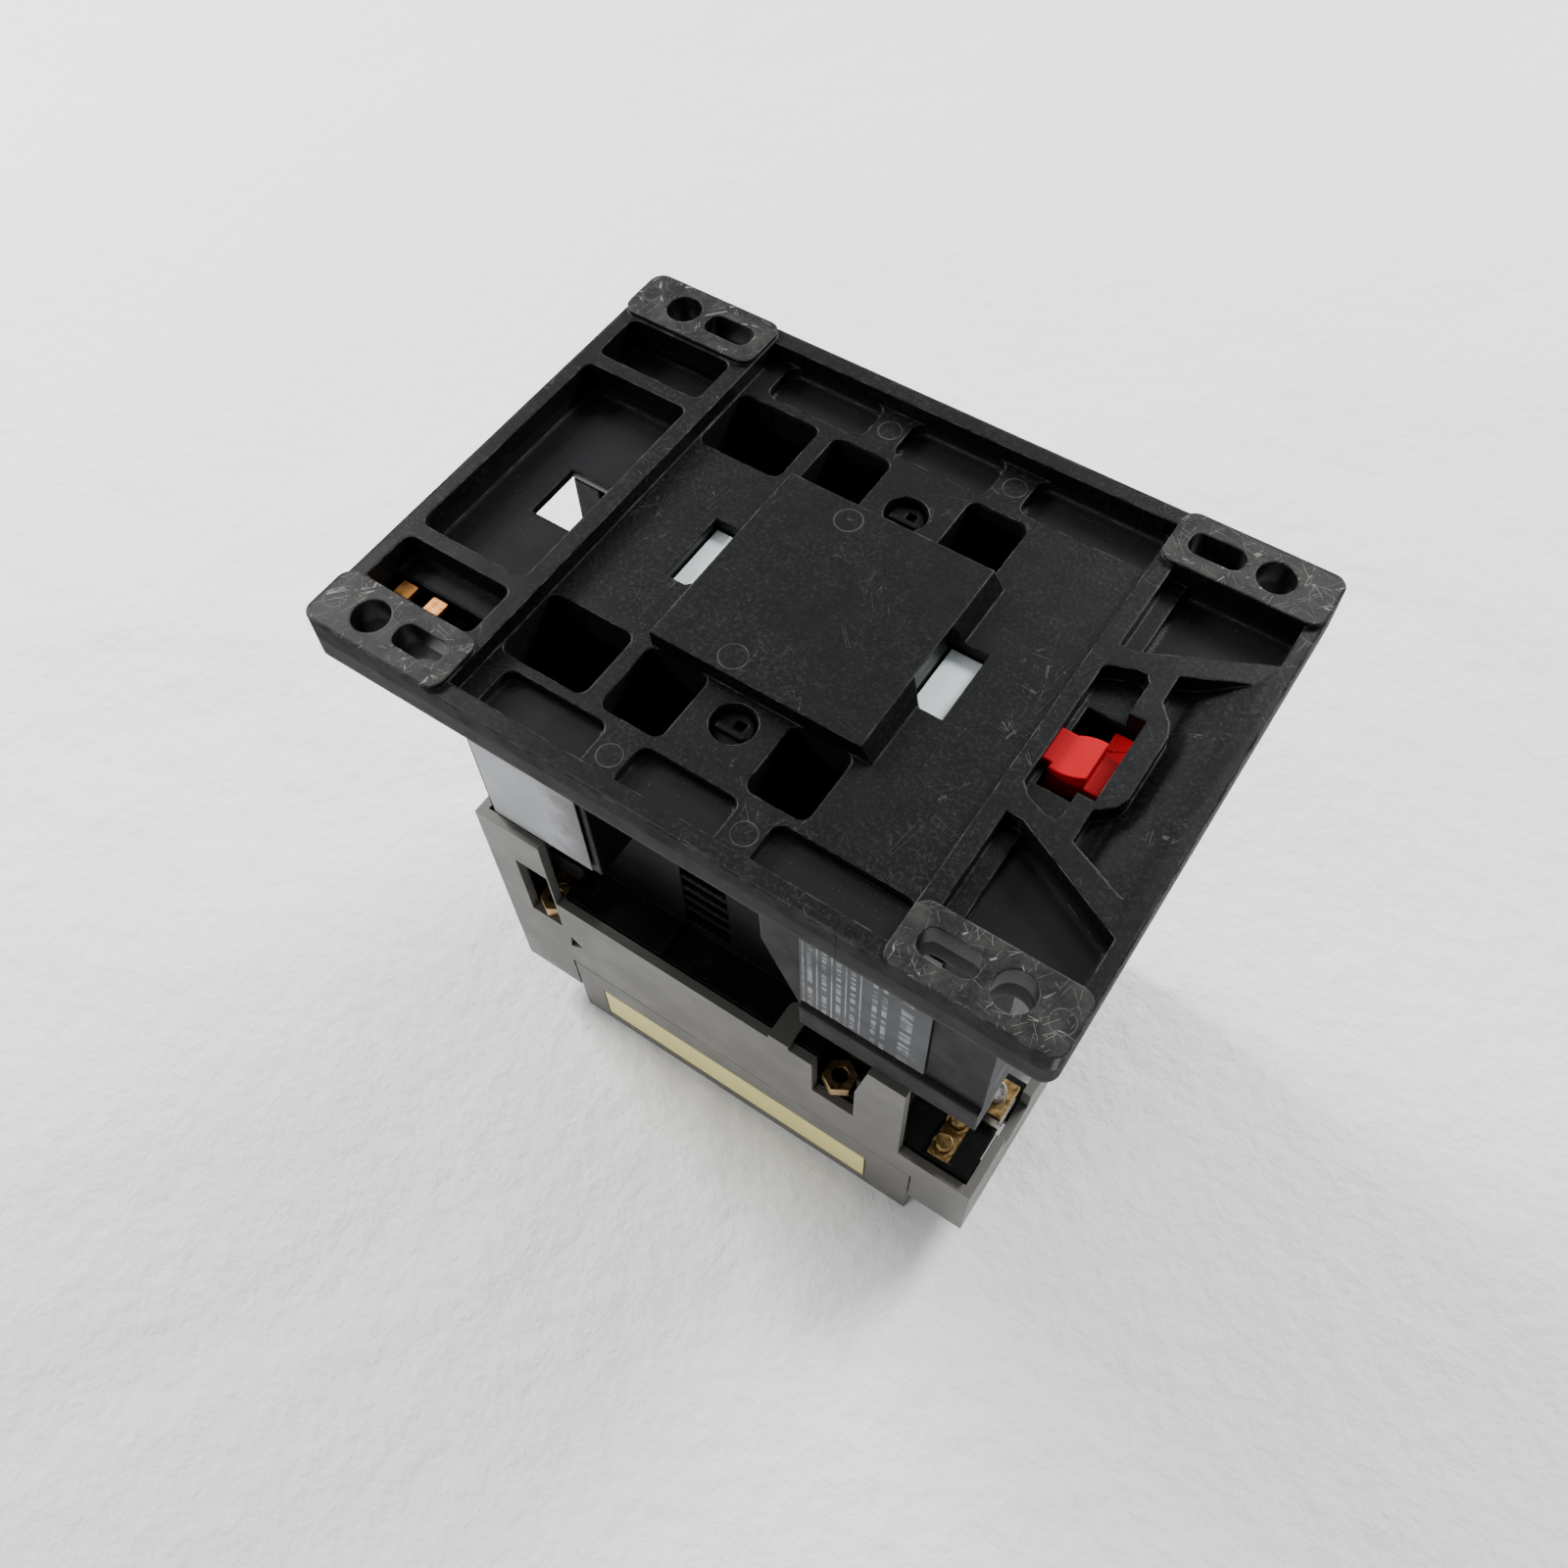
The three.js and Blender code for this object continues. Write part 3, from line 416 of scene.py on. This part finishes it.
def yellow_plastic():
    """Aged yellow marking strip, browner in patches."""
    g = Graph("yellow_plastic")
    base = g.mix(g.noise(90, 4, 0.6), (0.70, 0.62, 0.20), (0.82, 0.74, 0.28))
    aged = g.ramp(g.noise(260, 5, 0.7), 0.6, 0.8)
    base = g.layered(base, [(aged, 0.4, (0.46, 0.40, 0.20))])
    g.bump(g.noise(900, 2), 0.01 * MM, 0.4)
    return g.finish(base, g.ramp(g.noise(150, 3), 0.3, 0.7, 0.35, 0.5))


# ---------------------------------------------------------------- labels

# the film darkens where X plus a wandering amount passes the first number, and is dark at the second:
# painted shade for the fading of its sheen, ending in the label's worn-through ragged border; the
# amount is a noise from 0 to the ragged border
FILM_FADE_AND_WORN_END = (-27, -20)
RAGGED_BORDER = 14

RULES = (19.7, 22.4, 25.2, 27.9, 30.6)
RULE_HALF = 0.16
SMALL_COLUMNS = (21.0, 23.8, 26.5, 29.2, 33.2, 35.0)
SMALL_HALF = 0.55
LARGE_COLUMN = 39.0
LARGE_HALF = 1.3


def silver_film():
    """Worn silver label: brushed grain, painted darker towards its right edge where its sheen fades,
    and worn through at a ragged border there.
    """
    g = Graph("silver_film")
    grain = g.noise(1.0, 2, source=g.mapped((60, 60, 3500)))
    wander = g.product(g.noise(160, 5, 0.7), RAGGED_BORDER * MM)
    # painted shade for the sheen fading to the right, ending at the label's real worn-through ragged
    # end
    fade_and_worn_end = g.ramp(g.math("ADD", g.axis(X), wander), FILM_FADE_AND_WORN_END[0] * MM, FILM_FADE_AND_WORN_END[1] * MM)
    base = g.mix(grain, (0.185, 0.195, 0.208), (0.265, 0.275, 0.288))
    base = g.layered(base, [
        (g.ramp(g.noise(75, 4), 0.5, 0.8), 0.4, (0.20, 0.21, 0.23)),
        # painted shade of the fading sheen, and the worn-through end of the label
        (fade_and_worn_end, 1.0, (0.03, 0.03, 0.033)),
    ])
    g.bump(grain, 0.01 * MM, 0.4)
    return g.finish(base, g.ramp(g.noise(110, 3), 0.3, 0.7, 0.3, 0.42), 0.25)


def rating_film():
    """Dark grey rating label: ruled columns and rows of marks that spell nothing."""
    g = Graph("rating_film")
    grain = g.noise(1.0, 2, source=g.mapped((80, 80, 3000)))
    rules = g.any_of([g.stripe(x, RULE_HALF) for x in RULES])
    small = g.any_of([g.stripe(x, SMALL_HALF) for x in SMALL_COLUMNS])
    columns = g.any_of([small, g.stripe(LARGE_COLUMN, LARGE_HALF)])
    broken = g.ramp(g.noise(1.0, 2, source=g.mapped((60, 60, 700))), 0.47, 0.52)
    print_mask = g.any_of([rules, g.product(columns, broken)])
    wear = g.ramp(g.noise(210, 5, 0.7), 0.38, 0.6, 0.15, 0.8)
    base = g.mix(grain, (0.016, 0.018, 0.021), (0.028, 0.031, 0.035))
    base = g.layered(base, [
        (g.ramp(g.noise(90, 5, 0.7), 0.55, 0.8), 0.5, (0.10, 0.10, 0.10)),
        (print_mask, wear, (0.30, 0.32, 0.34)),
    ])
    g.bump(grain, 0.01 * MM, 0.3)
    return g.finish(base, g.ramp(g.noise(130, 3), 0.3, 0.7, 0.38, 0.5), ior=1.3)


# ---------------------------------------------------------------- metals and floor

EVEN = (1, 1, 1)
DRAWN_ALONG_Z = (1, 1, 0.1)

# the darker and lighter shade of the bare metal, its tarnish, and the stretch of its grain
METALS = {
    "copper": ((0.62, 0.25, 0.07), (0.78, 0.36, 0.12), (0.30, 0.12, 0.04), DRAWN_ALONG_Z),
    "silvered_contact": ((0.62, 0.62, 0.6), (0.8, 0.8, 0.77), (0.35, 0.33, 0.3), EVEN),
    "brass": ((0.30, 0.19, 0.07), (0.48, 0.33, 0.14), (0.09, 0.055, 0.03), EVEN),
    "steel": ((0.40, 0.40, 0.39), (0.56, 0.56, 0.54), (0.20, 0.18, 0.15), EVEN),
}


def metal(name, low, high, tarnish, stretch):
    """Bare metal with a fine grain and patches of tarnish, which are duller."""
    g = Graph(name)
    lines = g.noise(900, 3, source=g.mapped(stretch))
    patch = g.ramp(g.noise(260, 5, 0.7), 0.48, 0.74)
    base = g.mix(patch, g.mix(lines, low, high), tarnish)
    roughness = g.math("ADD", g.ramp(lines, 0.3, 0.7, 0.25, 0.42), g.product(patch, 0.2))
    g.bump(lines, 0.01 * MM, 0.4)
    return g.finish(base, roughness, g.math("SUBTRACT", 1.0, g.product(patch, 0.35)))


def floor_sheet():
    """Pale matt packing sheet, softly crumpled."""
    g = Graph("floor_sheet")
    base = g.mix(g.noise(9, 4), (0.86, 0.86, 0.865), (0.92, 0.92, 0.922))
    folds = g.product(g.noise(5, 3, 0.5, 0.6), 14)
    fine = g.product(g.noise(150, 4, 0.6), 1.1)
    g.bump(g.math("ADD", folds, fine), 2.0 * MM, 0.5)
    return g.finish(base, 0.7)


materials = {
    "black_plastic": black_plastic(),
    "grey_plastic": grey_plastic(),
    "pale_plastic": pale_plastic(),
    "red_plastic": red_plastic(),
    "yellow_plastic": yellow_plastic(),
    "silver_label": silver_film(),
    "grey_label": rating_film(),
}
for name, look in METALS.items():
    materials[name] = metal(name, *look)
plate_material = plate_plastic()


# ---------------------------------------------------------------- carried-over CAD nodes

WELD_GAP = 0.002
FLAT_ANGLE = math.radians(1.0)
EDGE_ANGLE = math.radians(32)
ROUNDING_SEGMENTS = 2
DEFAULT_ROUNDING = 0.15
ROUNDING = {
    "rear_plate": 0.5, "core_housing": 0.6, "front_housing": 0.4, "front_cover": 0.6,
    "din_latch": 0.3, "contact_block": 0.3, "contact_carrier": 0.3, "coil_terminal_block": 0.4,
}


def shade_smooth(mesh):
    mesh.polygons.foreach_set("use_smooth", [True] * len(mesh.polygons))


def round_edges(obj, rounding):
    """Modifiers that merge flat facets, round the sharp edges and keep the flats flat."""
    flat = obj.modifiers.new("flat_faces", "DECIMATE")
    flat.decimate_type = "DISSOLVE"
    flat.angle_limit = FLAT_ANGLE
    bevel = obj.modifiers.new("edges", "BEVEL")
    bevel.width = rounding * MM
    bevel.segments = ROUNDING_SEGMENTS
    bevel.limit_method = "ANGLE"
    bevel.angle_limit = EDGE_ANGLE
    bevel.miter_outer = "MITER_ARC"
    normals = obj.modifiers.new("flat_normals", "WEIGHTED_NORMAL")
    normals.keep_sharp = False


def dress(obj, material):
    """Gives a CAD node its material and welds its facets."""
    obj.data.materials.clear()
    obj.data.materials.append(material)
    shade_smooth(obj.data)
    weld = obj.modifiers.new("weld", "WELD")
    weld.merge_threshold = WELD_GAP * MM


slots = {entry["node"]: entry["material_slot"] for entry in frame["record"]["subparts"]}
for name in nodes:
    dress(nodes[name], plate_material if name == "rear_plate" else materials[slots[name]])
    if "spring" not in name:
        round_edges(nodes[name], ROUNDING.get(name, DEFAULT_ROUNDING))


# ---------------------------------------------------------------- springs

STEPS_PER_TURN = 20
WIRE_SIDES = 8


def coil_points(start, end, radius, wire, turns):
    """Rings of points round a wire that winds along the line from start to end."""
    along = (end - start).normalized()
    across = along.orthogonal().normalized()
    third = along.cross(across)
    steps = turns * STEPS_PER_TURN
    reach = (end - start).length - 2 * wire
    points = []
    for i in range(steps + 1):
        angle = math.tau * i / STEPS_PER_TURN
        outward = across * math.cos(angle) + third * math.sin(angle)
        centre = start + along * (wire + reach * i / steps) + outward * radius
        for j in range(WIRE_SIDES):
            turn = math.tau * j / WIRE_SIDES
            points.append(centre + (outward * math.cos(turn) + along * math.sin(turn)) * wire)
    return points


def coil_faces(points):
    """Quads between neighbouring rings, with a cap on each end."""
    last = len(points) - WIRE_SIDES
    faces = [tuple(range(WIRE_SIDES)), tuple(reversed(range(last, len(points))))]
    for low in range(0, last, WIRE_SIDES):
        high = low + WIRE_SIDES
        for j in range(WIRE_SIDES):
            k = (j + 1) % WIRE_SIDES
            faces.append((low + j, high + j, high + k, low + k))
    return faces


def coil_mesh(start, end, radius, wire, turns):
    points = coil_points(start, end, radius, wire, turns)
    mesh = bpy.data.meshes.new("coil")
    mesh.from_pydata(points, [], coil_faces(points))
    shade_smooth(mesh)
    return mesh


def add_to_scene(obj):
    bpy.context.scene.collection.objects.link(obj)


def add_spring(node, body, fixed_high, wire, turns):
    """A round-wire spring in place of a CAD one, carried by a body."""
    low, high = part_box(node)
    size = high - low
    axis = max(range(3), key=lambda i: size[i])
    fixed = (low + high) / 2
    free = fixed.copy()
    fixed[axis] = high[axis] if fixed_high else low[axis]
    free[axis] = low[axis] if fixed_high else high[axis]
    radius = min(size) / 2 - wire * MM
    piece = bpy.data.objects.new(f"{node}_coil", coil_mesh(fixed, free, radius, wire * MM, turns))
    piece.data.materials.append(materials["steel"])
    add_to_scene(piece)
    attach(piece, body)
    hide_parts(node)
    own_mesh(piece)


for i in (1, 2):
    add_spring(f"return_spring_{i}", "base", fixed_high=True, wire=0.35, turns=6)
for i in (1, 2, 3):
    add_spring(f"contact_spring_{i}", "carrier", fixed_high=False, wire=0.4, turns=5)
add_spring("latch_spring", "base", fixed_high=True, wire=0.22, turns=6)


# ---------------------------------------------------------------- floor, light and camera

FLOOR_HALF = 1.6

SKY_TINT = (0.97, 0.98, 1.0)
SKY_DIM_SIDE = Vector((0.35, -0.75, 0.3))
SKY_DIM = 0.2
SKY_BRIGHT = 1.25
SKY_FADE = (-0.6, 0.9)    # cosine of the angle to the dim side where the fade starts and ends

# name, place, what it points at, size and power
LIGHTS = [
    ("key", (0.3, 0.8, 0.75), (0, 0, 0.05), (0.4, 0.25), 15),
    ("left", (-0.8, 0.1, 0.65), (0, 0, 0.05), (0.25, 0.25), 15),
    ("near", (-0.3, -0.85, 0.55), (0, 0, 0.1), (0.35, 0.1), 3),
]

CAMERA_EYE = Vector((0.07447, -0.11449, 0.29984))
CAMERA_DIRECTION = Vector((-0.3069, 0.4219, -0.8531))
CAMERA_ROLL = math.radians(-2.4)
CAMERA_LENS = 33.09
CAMERA_SENSOR = 36


def facing(direction):
    """The rotation that points a lamp or camera this way, with its top upwards."""
    return direction.to_track_quat("-Z", "Y")


def add_floor():
    corners = [(sx * FLOOR_HALF, sy * FLOOR_HALF, 0) for sx, sy in ((-1, -1), (1, -1), (1, 1), (-1, 1))]
    mesh = bpy.data.meshes.new("floor")
    mesh.from_pydata(corners, [], [(0, 1, 2, 3)])
    floor = bpy.data.objects.new("floor", mesh)
    floor.data.materials.append(floor_sheet())
    add_to_scene(floor)


def add_light(name, place, aim, size, power):
    lamp = bpy.data.lights.new(name, "AREA")
    lamp.shape = "RECTANGLE"
    lamp.size, lamp.size_y = size
    lamp.energy = power
    obj = bpy.data.objects.new(name, lamp)
    obj.location = place
    obj.rotation_euler = facing(Vector(aim) - Vector(place)).to_euler()
    add_to_scene(obj)


def add_sky():
    """Soft sky that is dimmer towards one side."""
    world = bpy.data.worlds.new("studio")
    world.use_nodes = True
    tree = world.node_tree
    background = tree.nodes["Background"]
    background.inputs["Color"].default_value = colour(SKY_TINT)
    coords = tree.nodes.new("ShaderNodeTexCoord")
    towards = tree.nodes.new("ShaderNodeVectorMath")
    towards.operation = "DOT_PRODUCT"
    towards.inputs[1].default_value = SKY_DIM_SIDE.normalized()
    fade = tree.nodes.new("ShaderNodeMapRange")
    fade.interpolation_type = "SMOOTHSTEP"
    fade.inputs["From Min"].default_value = SKY_FADE[0]
    fade.inputs["From Max"].default_value = SKY_FADE[1]
    fade.inputs["To Min"].default_value = SKY_BRIGHT
    fade.inputs["To Max"].default_value = SKY_DIM
    tree.links.new(coords.outputs["Generated"], towards.inputs[0])
    tree.links.new(towards.outputs["Value"], fade.inputs["Value"])
    tree.links.new(fade.outputs["Result"], background.inputs["Strength"])
    bpy.context.scene.world = world


def add_camera():
    camera = bpy.data.cameras.new("camera")
    camera.lens = CAMERA_LENS
    camera.sensor_width = CAMERA_SENSOR
    obj = bpy.data.objects.new("camera", camera)
    turn = facing(CAMERA_DIRECTION).to_matrix().to_4x4()
    obj.matrix_world = Matrix.Translation(CAMERA_EYE) @ turn @ Matrix.Rotation(CAMERA_ROLL, 4, "Z")
    add_to_scene(obj)
    bpy.context.scene.camera = obj


add_floor()
add_sky()
for light in LIGHTS:
    add_light(*light)
add_camera()
